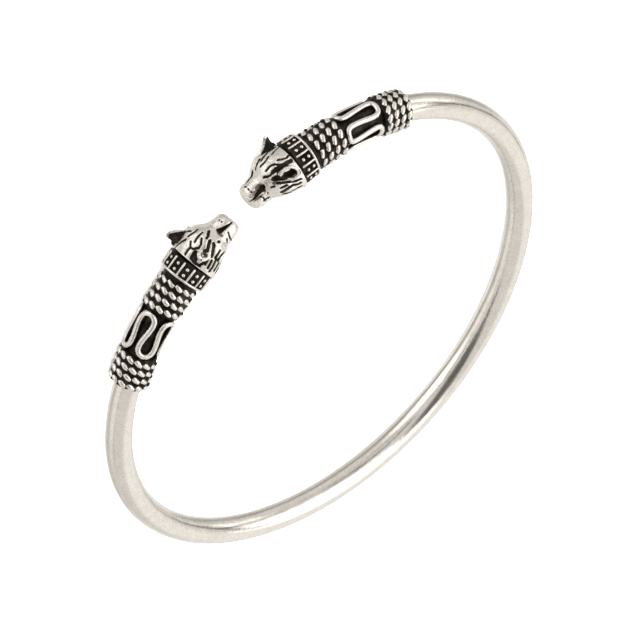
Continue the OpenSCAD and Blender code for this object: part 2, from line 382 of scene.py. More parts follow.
# Where each winding starts and its pitch, how far it sways along the hoop in each turn and where
# in the turn, the angle where it starts, the beads in each turn and the first bead's share.
WINDINGS = [
    # name, side, from, pitch, sway, sway at, start, beads, share
    ("rope_front_left", "left", 10.52, 1.016, 0.108, 0.065, 57, 12.23, 0.03),
    ("rope_front_right", "right", 10.49, 1.036, 0.082, -0.107, 123, 13.83, 0.97),
    ("rope_rear_left", "left", 20.60, 0.981, 0.275, -0.057, 57, 14.25, 0.77),
    ("rope_rear_right", "right", 20.57, 1.04, 0.43, -0.083, 123, 13.69, 0.74)]
for name, side, from_s, pitch, sway, sway_at, start, beads, share in WINDINGS:
    t = np.linspace(0, ROPE_TURNS, int(ROPE_TURNS * beads * STEPS_A_BEAD))
    angle = np.radians(start) - 2 * np.pi * t
    along = from_s + ROPE_D / 2 + t * pitch + sway * np.cos(2 * np.pi * (t - sway_at))
    strands, twists = [], []
    for half in (0, np.pi):
        twist = -np.pi * (t * beads - share) + half
        r = rope_r + TWIST_OUT * np.cos(twist)
        s = along + TWIST_ALONG * np.sin(twist)
        strands.append(lay_down(side, on_wire(s, r * np.cos(angle), r * np.sin(angle))))
        twists.append(np.arctan2(np.sin(twist), np.cos(twist)))
    line = paths(name + "_wires", strands)
    for note, values in (("twist", twists), ("row", (along, along)), ("round", (angle, angle))):
        line.data.attributes.new(note, "FLOAT", "POINT").data.foreach_set(
            "value", np.concatenate(values).astype(np.float32))
    rope = made_by(tube, line, Wire_radius=STRAND_R / 1000, Sides=STRAND_SIDES, Metal=blackened)
    outward(rope)
    twist, row, row_angle = np.empty((3, len(rope.data.vertices)), np.float32)
    for note, values in (("twist", twist), ("row", row), ("round", row_angle)):
        rope.data.attributes[note].data.foreach_get("value", values)
    # u and v lead from the middle of the nearest bead, round the hoop and along it
    q = in_ring(side, points_of(rope)) - (end_x, end_y, 0)
    lifted = above_axis(side, points_of(rope)) - rope_r
    v = (np.arctan2(q[:, 1], q[:, 0]) - gap_angle) * END_R - row
    past = np.arctan2(q[:, 2], np.hypot(q[:, 0], q[:, 1]) - END_R) - row_angle
    u = (twist + beads / 2 * ((past + np.pi) % (2 * np.pi) - np.pi)) * 2 * rope_r / beads
    c, s = math.cos(OVAL_SLANT), math.sin(OVAL_SLANT)
    oval = np.hypot((u * c + v * s) / OVAL_LONG, (v * c - u * s) / OVAL_WIDE)
    paint(rope, np.maximum(soft_step(oval, 0.90, 1.12), soft_step(lifted, 0.05, -0.05)))
    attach(rope, "root")
    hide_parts(name)


# The waves: one thicker wire bent by hand to four loops each way and closed round the hoop, lying
# on it between the two windings. Only its flanks stay black.
WAVE_S, WAVE_D, WAVE_LEN, WAVES = 15.01, 0.72, 5.57, 4
WAVE_STEPS, WAVE_SIDES = 560, 20
wave_r = WIRE_R + SEAM + WAVE_D / 2
# side, turn round the hoop, lean of the loops, swell beyond the neck, where they crowd, how much
# and how square their ends are
BENDS = [("left", 51.5, 4.0, 0.14, 0, 0.0, 1.1), ("right", 36.0, -1.0, 0.17, 36, 4.0, 0.35)]
for side, start, leans, swell, middle, crowd, square in BENDS:
    t = np.linspace(0, 1, WAVE_STEPS, endpoint=False)
    phase = 2 * np.pi * t * WAVES
    angle = 360 * t + start + leans * np.sin(phase) - swell * 360 / WAVES * np.sin(2 * phase)
    angle = np.radians(angle - crowd * np.sin(np.radians(angle - middle)))
    s = (WAVE_S + WAVE_LEN / 2
         + (WAVE_LEN - WAVE_D) / 2 * np.tanh(square * np.sin(phase)) / math.tanh(square))
    line = lay_down(side, on_wire(s, wave_r * np.cos(angle), wave_r * np.sin(angle)))
    wave = made_by(tube, paths("wave_%s_wire" % side, [line], closed=True),
                   Wire_radius=WAVE_D / 2000, Sides=WAVE_SIDES, Metal=blackened)
    outward(wave)
    lifted = above_axis(side, points_of(wave)) - WIRE_R
    paint(wave, soft_step(lifted, 0.56, 0.42))
    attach(wave, "root")
    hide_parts("wave_" + side)


# The collars: a turned band with a rim at the rear, soldered bars across it and two grains in each
# panel between them. Black all over but for the tops of the bars, the grains and the rim. Each sits
# a little off the wire's axis, to the outside of the ring.
COLLAR_LEN, CORE_REAR, CORE_FRONT, BORE_R, OFF_AXIS = 2.2, 2.72, 2.82, 1.3, 0.2
RIM_R, RIM_W, RIM_ROUND = 3.0, 0.3, 0.15
PANELS, BAR_W, BAR_HEIGHT, BAR_AT = 13, 0.25, 0.26, 0.12
GRAIN_R, GRAIN_HEIGHT, GRAIN_STEP, SUNK = 0.25, 0.24, 0.8, 0.15

round_axis = bpy.data.node_groups.new("repeat round the axis", "GeometryNodeTree")
g_in, g_out = sockets(
    round_axis,
    [("Part", "NodeSocketGeometry", None), ("Count", "NodeSocketInt", 13),
     ("Start", "NodeSocketFloat", 0.0), ("Metal", "NodeSocketMaterial", None)],
    [("Ring", "NodeSocketGeometry")])
spots = node(round_axis, "GeometryNodePoints")
index = node(round_axis, "GeometryNodeInputIndex")
step = math_node(round_axis, "DIVIDE", index.outputs[0], g_in.outputs["Count"])
step = math_node(round_axis, "MULTIPLY_ADD", step, 2 * math.pi, g_in.outputs["Start"])
spin = node(round_axis, "ShaderNodeCombineXYZ")
wire(step, spin.inputs["Z"])
put = node(round_axis, "GeometryNodeInstanceOnPoints")
wire(g_in.outputs["Count"], spots.inputs["Count"])
wire(spots.outputs[0], put.inputs["Points"])
wire(g_in.outputs["Part"], put.inputs["Instance"])
wire(spin.outputs[0], put.inputs["Rotation"])
finished(round_axis, put.outputs[0], g_in, g_out)


def lathe(profile, sides):
    """A closed profile of (radius, height) turned about the axis."""
    n = len(profile)
    a = np.linspace(0, 2 * math.pi, sides, endpoint=False)
    r, h = np.array(profile).T
    points = np.stack((np.outer(np.cos(a), r), np.outer(np.sin(a), r), np.tile(h, (sides, 1))), -1)
    faces = [(i * n + k, (i + 1) % sides * n + k, (i + 1) % sides * n + (k + 1) % n,
              i * n + (k + 1) % n) for i in range(sides) for k in range(n)]
    return points.reshape(-1, 3), faces


def at_end(side, from_s, points):
    """Local points (outward, up, toward the nose) set square on the wire, on the floor."""
    a = gap_angle + from_s / END_R
    o = np.array((end_x + END_R * math.cos(a), end_y + END_R * math.sin(a), 0))
    p = np.asarray(points)
    out, nose = np.array((math.cos(a), math.sin(a), 0)), np.array((math.sin(a), -math.cos(a), 0))
    return lay_down(side, o + p[:, :1] * out + p[:, 1:2] * (0, 0, 1.0) + p[:, 2:3] * nose)


def arc(cr, ch, r, a0, a1, steps):
    """Points of (radius, height) on part of a circle."""
    return [(cr + r * math.cos(a), ch + r * math.sin(a)) for a in np.linspace(a0, a1, steps)]


def rounded_bar(width, height, length, taper):
    """A bar along z whose top is rounded; taper makes its front end lie higher."""
    ring = [(-width / 2, -SUNK), (width / 2, -SUNK)]
    ring += [(width / 2 * math.cos(a), height - 0.1 + 0.1 * math.sin(a))
             for a in np.linspace(0, math.pi, 7)]
    points = []
    ends = [(0.0, 0.75), (0.06, 1.0), (length - 0.06, 1.0), (length, 0.75)]
    for z, size in ends:
        points += [((y * size if y > 0 else y) + taper * z, x * size, z) for x, y in ring]
    return np.array(points), tube_faces(len(ends), len(ring))


def dome(radius, height, at):
    """A grain: a half ball on the band, with its foot sunk in."""
    rings, sides, points = 5, 16, []
    for i in range(rings):
        t = i / rings * math.pi / 2
        for k in range(sides):
            a = 2 * math.pi * k / sides
            points.append((height * math.sin(t), radius * math.cos(t) * math.sin(a),
                           at + radius * math.cos(t) * math.cos(a)))
    base = [(-SUNK, p[1], p[2]) for p in points[:sides]]
    points = base + points + [(height, 0, at)]
    faces = tube_faces(rings + 1, sides)[:-1]
    last = len(points) - 1
    faces += [(rings * sides + k, rings * sides + (k + 1) % sides, last) for k in range(sides)]
    return np.array(points), faces


def renumbered(faces, first):
    """Faces whose points come after others in a joined mesh."""
    return [tuple(v + first for v in f) for f in faces]


slope = (CORE_FRONT - CORE_REAR) / COLLAR_LEN
quarter = math.pi / 2
profile = [(BORE_R, 0)] + arc(RIM_R - RIM_ROUND, RIM_ROUND, RIM_ROUND, -quarter, quarter, 9)
profile += [(CORE_REAR + 0.02, 0.32), (CORE_FRONT + 0.02, COLLAR_LEN - 0.06),
            (CORE_FRONT - 0.04, COLLAR_LEN), (BORE_R, COLLAR_LEN)]
core_points, core_faces = lathe(profile, 104)
bar_points, bar_faces = rounded_bar(BAR_W, BAR_HEIGHT, COLLAR_LEN - 0.26, slope)
panel_points, panel_faces = [bar_points + (CORE_REAR, 0, BAR_AT)], bar_faces
for k in (0.5, 1.5):
    h = RIM_W + k * GRAIN_STEP
    dome_points, dome_faces = dome(GRAIN_R, GRAIN_HEIGHT, h)
    dome_points = dome_points + (CORE_REAR + slope * h, 0, 0)
    c, s = math.cos(math.pi / PANELS), math.sin(math.pi / PANELS)
    x, y = dome_points[:, 0].copy(), dome_points[:, 1].copy()
    dome_points[:, 0], dome_points[:, 1] = x * c - y * s, x * s + y * c
    panel_faces += renumbered(dome_faces, sum(len(p) for p in panel_points))
    panel_points.append(dome_points)

for side, first_bar in (("left", -3.3), ("right", 22.6)):
    panels = made_by(round_axis, mesh_object(
        "collar_panel", np.concatenate(panel_points), panel_faces),
        Count=PANELS, Start=math.radians(first_bar), Metal=blackened)
    outward(panels)
    everything = np.concatenate((core_points, points_of(panels)))
    faces = core_faces + renumbered([tuple(p.vertices) for p in panels.data.polygons],
                                    len(core_points))
    bpy.data.objects.remove(panels)
    proud = np.hypot(everything[:, 0], everything[:, 1]) - CORE_REAR - slope * everything[:, 2]
    collar = mesh_object("collar_%s_band" % side, at_end(
        side, COLLAR_S + COLLAR_LEN, everything + (OFF_AXIS, 0, 0)), faces)
    outward(collar)
    paint(collar, soft_step(proud, 0.20, 0.08))
    collar.data.materials.append(blackened)
    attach(collar, "root")
    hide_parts("collar_" + side)


# The heads: cast in silver and blackened in every cut of the fur. Each is carved as a solid in a
# fine grid of cells, then skinned: the base form first, then soft swellings and hollows, the fur,
# the cupped ears and the mouth.
HEAD_S, HEAD_LEN = 8.0, 6.7
CELL = 0.06
# where the grid runs: outward, up, and from the collar to past the nose
GRID = ((-3.4, 5.3), (-5.0, 5.0), (-0.15, 6.95))
MAP_STEP, MAP_TURN = 0.025, 0.75
EAR_FILLET, MOUTH_FROM, MOUTH_DEEP = 0.16, 5.9, 0.5
# the uneven skin of a casting: how fast each ripple goes along the axes, and its height
RIPPLES = [((3.1, 1.7, 2.3), 0.012), ((-2.2, 3.7, 3.9), 0.010), ((5.3, -4.1, 6.1), 0.007),
           ((4.7, 6.9, -5.7), 0.006), ((-9.1, 7.3, 8.3), 0.004)]
# share of the length, height of the section's middle above the axis, half height, half width
SECTIONS = np.array([
    (0.00, 0.00, 3.02, 3.02), (0.12, 0.30, 2.96, 3.02), (0.26, 0.58, 2.80, 2.98),
    (0.40, 0.78, 2.52, 2.84), (0.50, 0.84, 2.28, 2.62), (0.57, 0.72, 2.02, 2.32),
    (0.63, 0.50, 1.82, 2.04), (0.70, 0.22, 1.70, 1.84), (0.80, 0.08, 1.64, 1.72),
    (0.89, 0.02, 1.58, 1.62), (0.95, 0.00, 1.46, 1.48), (0.985, 0.00, 1.22, 1.24),
    (1.00, 0.00, 0.90, 0.92)])


def section(z, swing):
    """Middle (outward, up), half height and half width of the head at a distance z."""
    t = np.clip(np.asarray(z, float) / HEAD_LEN, 0, 1)
    fine = np.linspace(0, 1, 400)
    rows = []
    for c in (1, 2, 3):
        v = np.interp(fine, SECTIONS[:, 0], SECTIONS[:, c])
        if c == 1:
            v = np.convolve(np.pad(v, 12, "edge"), np.ones(25) / 25, "valid")
        rows.append(np.interp(t, fine, v))
    return rows[0], swing * np.clip(np.asarray(z) / 4.5, 0, 1), rows[1], rows[2]


def skin(z, angle, out, swing):
    """A point that far outside the base form, at a distance and angle."""
    cx, cv, a, b = section(z, swing)
    g = np.radians(angle)
    return np.stack((cx + (a + out) * np.cos(g), cv + (b + out) * np.sin(g), z + 0 * g), -1)


def to_segment(p, a, b):
    """Distance from points p to the segment a-b, and the share of the way along it."""
    ab = b - a
    t = np.clip(((p - a) @ ab) / max(ab @ ab, 1e-9), 0, 1)
    return np.linalg.norm(p - a - t[..., None] * ab, axis=-1), t


def to_triangle(p, a, b, c):
    """Distance from points p to the triangle a, b, c."""
    n = np.cross(b - a, c - a)
    n = n / np.linalg.norm(n)
    inside = np.ones(p.shape[:-1], bool)
    for u, v in ((a, b), (b, c), (c, a)):
        inside &= (p - u) @ np.cross(n, v - u) > 0
    edge = np.minimum(np.minimum(to_segment(p, a, b)[0], to_segment(p, b, c)[0]),
                      to_segment(p, c, a)[0])
    return np.where(inside, np.abs((p - a) @ n), edge)


def blend(a, b, k):
    """The smaller of two distances, with a fillet of size k."""
    h = np.clip(0.5 + 0.5 * (b - a) / k, 0, 1)
    return b + (a - b) * h - k * h * (1 - h)


MAP_Z = np.arange(-0.1, 6.85, MAP_STEP)
MAP_A = np.arange(-180, 180, MAP_TURN)


def carving(strokes, dabs_and_shade):
    """Depth and blackness of everything carved, with the painted shade of the dabs and beside the
    cuts, over distance from the collar and angle.
    """
    z, a = np.meshgrid(MAP_Z, MAP_A, indexing="ij")
    radius = np.interp(MAP_Z / HEAD_LEN, SECTIONS[:, 0], SECTIONS[:, 2:].mean(1))[:, None]
    depth, black = np.zeros_like(z), np.zeros_like(z)
    for deep, dark, width, *line in strokes:
        for (z1, a1), (z2, a2) in zip(line, line[1:]):
            scale = math.radians(1) * float(np.interp((z1 + z2) / 2 / HEAD_LEN, SECTIONS[:, 0],
                                                      SECTIONS[:, 2:].mean(1)))
            w1, w2 = width if isinstance(width, tuple) else (width, width)
            da = (a - a1 + 180) % 360 - 180
            p = np.stack((z - z1, da * scale), -1)
            d, t = to_segment(p, np.zeros(2), np.array((z2 - z1, (a2 - a1) * scale)))
            half = (w1 + (w2 - w1) * t) / 2
            depth = np.maximum(depth, deep * soft_step(d, half + 0.07, half - 0.09))
            black = np.maximum(black, dark * soft_step(d, half + 0.05, half - 0.07))
            # a faint dark fringe beside each cut: patina left there, and painted shade along its
            # edge
            black = np.maximum(black, 0.27 * dark * soft_step(d, half + 0.26, half))
    for z0, a0, size_z, size_a, deep, dark in dabs_and_shade:
        da = (a - a0 + 180) % 360 - 180
        g = np.exp(-((z - z0) / size_z) ** 2 - (da * np.radians(1) * radius / size_a) ** 2)
        depth = depth + deep * g
        black = np.maximum(black, dark * np.clip(1.6 * g, 0, 1))
    return depth, black


def look_up(table, z, angle):
    """The value of a carving table between its points."""
    u = np.clip((z - MAP_Z[0]) / MAP_STEP, 0, len(MAP_Z) - 1.001)
    v = ((angle + 180) % 360) / MAP_TURN
    i, j = u.astype(int), v.astype(int) % len(MAP_A)
    fu, fv = u - i, v - v.astype(int)
    k = (j + 1) % len(MAP_A)
    return (table[i, j] * (1 - fu) * (1 - fv) + table[i + 1, j] * fu * (1 - fv)
            + table[i, k] * (1 - fu) * fv + table[i + 1, k] * fu * fv)


def edges(axis, rest):
    """Slices to the near and the far ends of all the grid's edges along an axis."""
    near, far = [rest] * 3, [rest] * 3
    near[axis], far[axis] = slice(0, -1), slice(1, None)
    return tuple(near), tuple(far)


def skinned(field, origin, cell):
    """Surface nets: a vertex in each cell that the surface crosses, a quad across each edge."""
    inside = field < 0
    n = np.array(field.shape)
    total = np.zeros(tuple(n - 1) + (3,))
    count = np.zeros(tuple(n - 1))
    # each vertex lies in the middle of the crossings on its cell's twelve edges
    for axis in range(3):
        near, far = edges(axis, slice(None))
        cross = inside[near] != inside[far]
        t = np.where(cross, field[near] / np.where(cross, field[near] - field[far], 1), 0)
        others = [k for k in range(3) if k != axis]
        for du in (0, 1):
            for dv in (0, 1):
                cut = [slice(None)] * 3
                for k, d in zip(others, (du, dv)):
                    cut[k] = slice(d, n[k] - 1 + d)
                c = cross[tuple(cut)]
                count += c
                total[..., axis] += np.where(c, t[tuple(cut)], 0)
                for k, d in zip(others, (du, dv)):
                    total[..., k] += c * d
    used = count > 0
    number = np.full(tuple(n - 1), -1)
    number[used] = np.arange(used.sum())
    points = origin + cell * (np.argwhere(used) + total[used] / count[used][:, None])
    # each crossed edge joins the vertices of the four cells round it
    quads = []
    for axis in range(3):
        near, far = edges(axis, slice(1, -1))
        at = np.argwhere(inside[near] != inside[far])
        u, v = [k for k in range(3) if k != axis]
        at[:, [u, v]] += 1
        corners = []
        for du, dv in ((0, 0), (1, 0), (1, 1), (0, 1)):
            c = at.copy()
            c[:, u] -= du
            c[:, v] -= dv
            corners.append(number[c[:, 0], c[:, 1], c[:, 2]])
        quad = np.stack(corners, 1)
        quads.append(quad[(quad >= 0).all(1)])
    return points, [tuple(q) for q in np.concatenate(quads).tolist()]


def head_piece(side, swing, strokes, dabs_and_shade, ears, mouth_x):
    """Carves, skins and paints one head; swing is how far its nose turns to one side."""
    xs, vs, zs = (np.arange(low, high, CELL) for low, high in GRID)
    x, v, z = np.meshgrid(xs, vs, zs, indexing="ij")
    cx, cv, a, b = (k[None, None, :] for k in section(zs, swing))
    qx, qv = (x - cx) / a, (v - cv) / b
    angle = np.degrees(np.arctan2(v / b, qx))
    depth, black = carving(strokes, dabs_and_shade)
    body = (np.hypot(qx, qv) - 1) * np.minimum(a, b)
    body = body + look_up(depth, z, angle)
    body = np.maximum(body, z - HEAD_LEN)
    for rate, size in RIPPLES:
        body = body + size * np.sin(rate[0] * x + rate[1] * v + rate[2] * z)
    # the ears: thin walls from each rim down to the head
    shapes = []
    for ear in ears:
        rim = [np.array((out * math.cos(math.radians(g)), out * math.sin(math.radians(g)), along))
               for along, g, out, foot in ear["rim"]]
        root = [skin(foot, g, -0.35, swing) for along, g, out, foot in ear["rim"]]
        stretches = range(len(rim) - 1)
        wall = [(rim[i], rim[i + 1], root[i]) for i in stretches]
        wall += [(rim[i + 1], root[i + 1], root[i]) for i in stretches]
        if "dish" in ear:
            wall += [(rim[i], rim[i + 1], skin(*ear["dish"], swing)) for i in stretches]
        shapes.append((rim, wall, ear))
        corners = np.array(rim + root)
        cut = tuple(
            slice(int(np.searchsorted(g, low - 0.5)), int(np.searchsorted(g, high + 0.5)))
            for g, low, high in zip((xs, vs, zs), corners.min(0), corners.max(0)))
        p = np.stack((x[cut], v[cut], z[cut]), -1)
        gap = np.min([to_triangle(p, *corner) for corner in wall], axis=0)
        body[cut] = blend(body[cut], gap - ear["thick"] / 2, EAR_FILLET)
    # the mouth: a slit across the muzzle, cut MOUTH_DEEP from the outside
    mouth = np.maximum(np.abs(x - mouth_x) - 0.05, MOUTH_FROM - z)
    body = np.maximum(body, -np.maximum(mouth, -(body + MOUTH_DEEP)))
    body = np.maximum(body, -z)
    points, faces = skinned(body, np.array((xs[0], vs[0], zs[0])), CELL)
    # the patina and painted shade: black in the carving, then the ears' own, bright along their
    # rims
    cx, cv, a, b = section(points[:, 2], swing)
    angle = np.degrees(np.arctan2(points[:, 1] / b, (points[:, 0] - cx) / a))
    dark = look_up(black, points[:, 2], angle)
    off = (np.hypot((points[:, 0] - cx) / a, (points[:, 1] - cv) / b) - 1) * np.minimum(a, b)
    for rim, wall, ear in shapes:
        line = np.min([to_segment(points, rim[i], rim[i + 1])[0] for i in range(ear["rubbed"])],
                      axis=0)
        gap = np.min([to_triangle(points, *corner) for corner in wall], axis=0)
        on = soft_step(gap, ear["thick"] * 0.95, ear["thick"] * 0.6) * soft_step(off, 0.0, 0.15)
        shade = ear["black"] * soft_step(line, ear["bright"], ear["bright"] + 0.12)
        if "dish" in ear:
            # a dished ear keeps the carving's black, with a faint line of painted shade just inside
            # its rim for the dish's modelling
            shade = np.maximum(0.9 * dark, 0.5 * soft_step(abs(line - 0.36), 0.16, 0.04))
        dark = dark * (1 - on) + shade * on
    mirror = (1, 1, 1) if side == "right" else (1, -1, 1)
    head = mesh_object("head_%s_casting" % side, at_end(side, HEAD_S, points * mirror), faces)
    outward(head)
    paint(head, dark)
    head.data.materials.append(blackened)
    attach(head, "root")
    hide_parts("head_" + side)


# Each stroke: depth, blackness, width (or width at both ends), then (distance from the collar,
# angle from the outside towards the top as it lies) along it. Each dab: distance, angle, half
# length, half width, depth (less than nothing for a swelling), blackness, which is painted shade.
fur = 0.16
right_strokes = [
    (fur, 1, 0.26, (0.3, 8), (0.8, 8), (1.3, 9.5), (1.85, 1)),
    (fur, 1, 0.24, (1.3, 10), (1.42, 20)),
    (fur, 1, 0.27, (2.15, 10), (2.6, 8), (3.5, 6)),
    (fur, 1, 0.28, (1.5, 20), (1.95, 27), (2.4, 26), (2.95, 18)),
    (fur, 1, 0.30, (3.35, 27), (3.65, 25), (4.1, 13)),
    (0.2, 1, 0.50, (0.45, 25), (1.25, 26)),
    (0.2, 1, (0.5, 0.2), (0.55, 35), (1.4, 27)),
    (0.2, 1, 0.34, (0.25, 36), (0.3, 48), (0.7, 54), (1.0, 57)),
    (0.2, 1, 0.3, (0.3, 30), (0.3, 52)),
    (fur, 1, 0.40, (2.05, 63), (2.65, 59), (3.2, 54), (3.35, 50)),
    (fur, 1, 0.42, (2.0, 42), (2.3, 47), (2.75, 43), (3.35, 38)),
    (fur, 1, 0.42, (1.74, 48), (1.78, 49)),
    (0.06, 0.9, 0.20, (1.04, 44), (1.06, 44.5)),
    (0.14, 1, 0.32, (3.88, 58), (3.92, 59)),
    (fur, 1, 0.34, (0.5, 80), (1.05, 82), (2.15, 80)),
    (fur, 1, 0.40, (2.1, 87), (2.7, 90), (3.2, 98)),
    (fur, 1, 0.36, (2.2, 75), (2.6, 76), (3.15, 77)),
    (fur, 1, 0.34, (0.7, 71), (1.65, 70)),
    (fur, 1, 0.25, (0.8, 61), (1.45, 61)),
    (fur, 1, 0.40, (0.9, 95), (1.85, 95)),
    (fur, 1, 0.40, (0.8, 107), (2.0, 110)),
    (0.10, 0.9, 0.20, (4.8, 120), (4.85, 100), (5.0, 82), (5.35, 61)),
    (0.08, 0.7, 0.22, (4.4, 88), (4.7, 75)),
    (0.5, 1, 0.24, (4.72, 40), (4.82, 27)),
    (0.5, 1, (0.52, 0.28), (4.95, 37), (5.8, 45)),
    (0.5, 1, (0.28, 0.13), (5.8, 45), (6.5, 55)),
    (0.10, 0.9, 0.19, (5.83, 17), (5.85, 20)),
    (0.10, 0.9, 0.19, (5.82, 3), (5.84, 6)),
    (fur, 1, 0.29, (2.1, -16), (2.8, -12), (3.15, -10), (3.4, -13)),
    (fur, 1, 0.32, (0.15, -34), (0.9, -26), (1.65, -15)),
    (fur, 1, 0.30, (2.3, -38), (2.75, -23)),
    (0.2, 1, 0.6, (0.8, -40), (2.0, -42)),
]
right_dabs_and_shade = [
    # Painted in these dabs' blackness: shade in the eye hollows and the mouth's corner, and at 6.62
    # a dark reflection along the front of the nose.
    (4.05, 36, 0.45, 0.55, 0.14, 0.1), (4.35, -28, 0.45, 0.6, 0.14, 0.1),
    (3.75, 62, 0.7, 0.7, -0.10, 0), (3.2, 30, 0.8, 0.5, -0.05, 0),
    (4.6, 46, 0.2, 0.45, 0.05, 0.52), (5.9, 10, 0.8, 1.0, -0.06, 0),
    (6.62, 20, 0.10, 0.9, 0.0, 0.3), (2.6, 20, 1.2, 0.35, -0.05, 0),
    (2.6, -28, 1.2, 0.35, -0.05, 0), (5.5, 62, 0.6, 0.3, -0.05, 0),
]
left_strokes = [
    (fur, 1, 0.26, (0.12, 13), (0.5, 16), (1.0, 14), (1.5, 9)),
    (fur, 1, 0.26, (2.05, 14), (2.5, 10), (2.9, 9), (3.35, 11)),
    (0.2, 1, 0.52, (0.35, 27), (1.7, 26), (2.9, 26)),
    (fur, 1, 0.32, (1.7, 24), (1.95, 18)),
    (fur, 1, 0.28, (2.9, 24), (3.35, 28), (3.6, 25), (3.93, 16)),
    (0.2, 1, 0.5, (2.5, 52), (2.8, 44), (3.3, 41)),
    (0.35, 1, (1.1, 0.7), (0.75, 57), (2.2, 51), (3.0, 44)),
    (fur, 1, 0.38, (0.6, 79), (1.3, 78), (1.9, 73), (2.5, 67), (3.2, 59)),
    (fur, 1, 0.42, (0.8, 90), (1.1, 92), (1.75, 86), (2.4, 88), (3.25, 95)),
    (fur, 1, 0.36, (2.45, 78), (3.15, 78)),
    (fur, 1, 0.40, (0.8, 105), (2.0, 106)),
    (fur, 1, 0.40, (2.4, 108), (3.1, 106)),
    (0.14, 1, 0.28, (3.68, 62), (3.95, 59)),
    (0.2, 1, 0.28, (4.65, 93), (4.9, 90), (5.3, 91)),
    (0.12, 0.9, 0.18, (5.2, 88), (5.25, 70), (5.5, 58)),
    (0.35, 1, (0.8, 0.5), (4.75, 36), (5.6, 41)),
    (0.4, 1, (0.42, 0.12), (5.6, 42), (6.75, 53)),
    (0.10, 0.9, 0.18, (4.53, 67), (4.56, 71)),
    # a shallow brown band at the mouth's corner: painted shade
    (0.06, 0.6, 0.4, (4.65, 35), (4.7, 52)),
    (0.10, 0.9, 0.2, (5.95, 18), (6.0, 12)),
    (0.10, 0.9, 0.2, (5.98, 2), (5.98, -5)),
    (0.10, 0.9, 0.2, (5.95, -18), (6.02, -26)),
    (fur, 1, 0.24, (0.0, -25), (0.7, -20), (1.4, -15)),
    (fur, 1, 0.26, (1.9, -15), (2.8, -10), (3.4, -12)),
    (fur, 1, 0.28, (0.4, -33), (1.4, -30), (2.8, -22)),
    (fur, 1, (0.36, 0.24), (2.8, -30), (3.4, -28), (3.9, -28)),
    (0.2, 1, 0.6, (0.6, -38), (2.0, -40)),
    (0.25, 1, 0.45, (4.25, -44), (4.6, -40), (5.2, -41), (6.2, -46)),
]
left_dabs_and_shade = [
    # Painted in these dabs' blackness: shade in the eye hollow, in the valley by it, at the mouth's
    # corner and over and under the mouth.
    (3.95, 38, 0.5, 0.6, 0.16, 0.34), (4.3, -28, 0.45, 0.6, 0.12, 0),
    (3.9, 66, 0.6, 0.7, -0.10, 0), (3.2, 25, 0.8, 0.5, -0.05, 0),
    (4.65, 42, 0.16, 0.5, 0.05, 0.5), (5.9, 0, 0.7, 1.0, -0.05, 0),
    (5.0, 22, 0.55, 0.42, 0.10, 0.5), (5.6, 30, 0.6, 0.36, 0.06, 0.48),
    (5.7, 58, 0.7, 0.24, 0.05, 0.5), (3.3, 52, 0.5, 0.35, 0.05, 0.5),
    (5.5, 120, 1.0, 1.0, -0.26, 0), (2.9, 118, 1.6, 1.5, -0.26, 0),
    (2.6, 18, 1.2, 0.35, -0.05, 0), (2.6, -28, 1.2, 0.35, -0.05, 0),
]
# Each ear: its thickness, how wide its rim is rubbed bright and over how many stretches, how black
# it is inside, and its rim from the front, over the tip at the rear and down to the outer side.
# Columns: distance from the collar, angle, reach from the axis, and distance from the collar where
# that stretch stands on the head. A dished ear also has the middle of its hollow.
near_left = {"thick": 0.34, "bright": 0.33, "black": 0.8, "rubbed": 9, "rim": [
    (2.52, 37, 3.6, 2.6), (2.16, 34, 4.15, 2.1), (1.64, 34, 4.4, 1.6), (1.17, 36, 4.4, 1.1),
    (0.83, 41, 4.3, 0.85), (0.64, 46, 4.15, 0.65), (0.63, 51, 3.9, 0.6), (0.79, 57, 3.65, 0.8),
    (1.15, 59, 3.45, 1.15), (1.67, 59, 3.3, 1.7)]}
far_left = {"thick": 0.28, "bright": 0.24, "black": 1, "rubbed": 6, "rim": [
    (2.9, -46, 3.35, 2.9), (2.1, -45, 3.55, 2.2), (1.55, -44, 3.82, 1.7), (1.15, -43, 4.12, 1.3),
    (0.79, -42, 4.50, 1.0), (0.55, -41, 4.76, 0.8), (0.32, -41, 4.78, 0.6), (0.26, -42, 4.45, 0.5),
    (0.33, -42, 4.15, 0.4), (0.36, -42, 3.85, 0.3), (0.24, -42, 3.58, 0.15), (0.0, -40, 3.3, 0.0)]}
near_right = {"thick": 0.34, "bright": 0.2, "black": 1, "rubbed": 7, "rim": [
    (2.3, 50, 3.15, 2.3), (2.05, 52, 3.3, 2.05), (1.5, 49, 3.6, 1.5), (1.1, 44, 3.75, 1.1),
    (0.98, 39, 3.8, 1.0), (1.1, 35, 3.8, 1.1), (1.35, 31, 3.65, 1.3), (1.65, 28, 3.35, 1.6)],
    "dish": (1.45, 44, 0.2)}
far_right = {"thick": 0.26, "bright": 0.20, "black": 1, "rubbed": 7, "rim": [
    (2.9, -46, 3.2, 2.9), (2.4, -44, 3.12, 2.4), (2.11, -43, 3.46, 2.1), (1.71, -42, 3.98, 1.7),
    (1.32, -42, 4.38, 1.35), (0.95, -42, 4.65, 1.05), (0.62, -42, 4.68, 0.85),
    (0.46, -42, 4.5, 0.7), (0.52, -43, 4.13, 0.5), (0.56, -45, 3.82, 0.35), (0.42, -47, 3.55, 0.2),
    (0.16, -48, 3.39, 0.05)]}
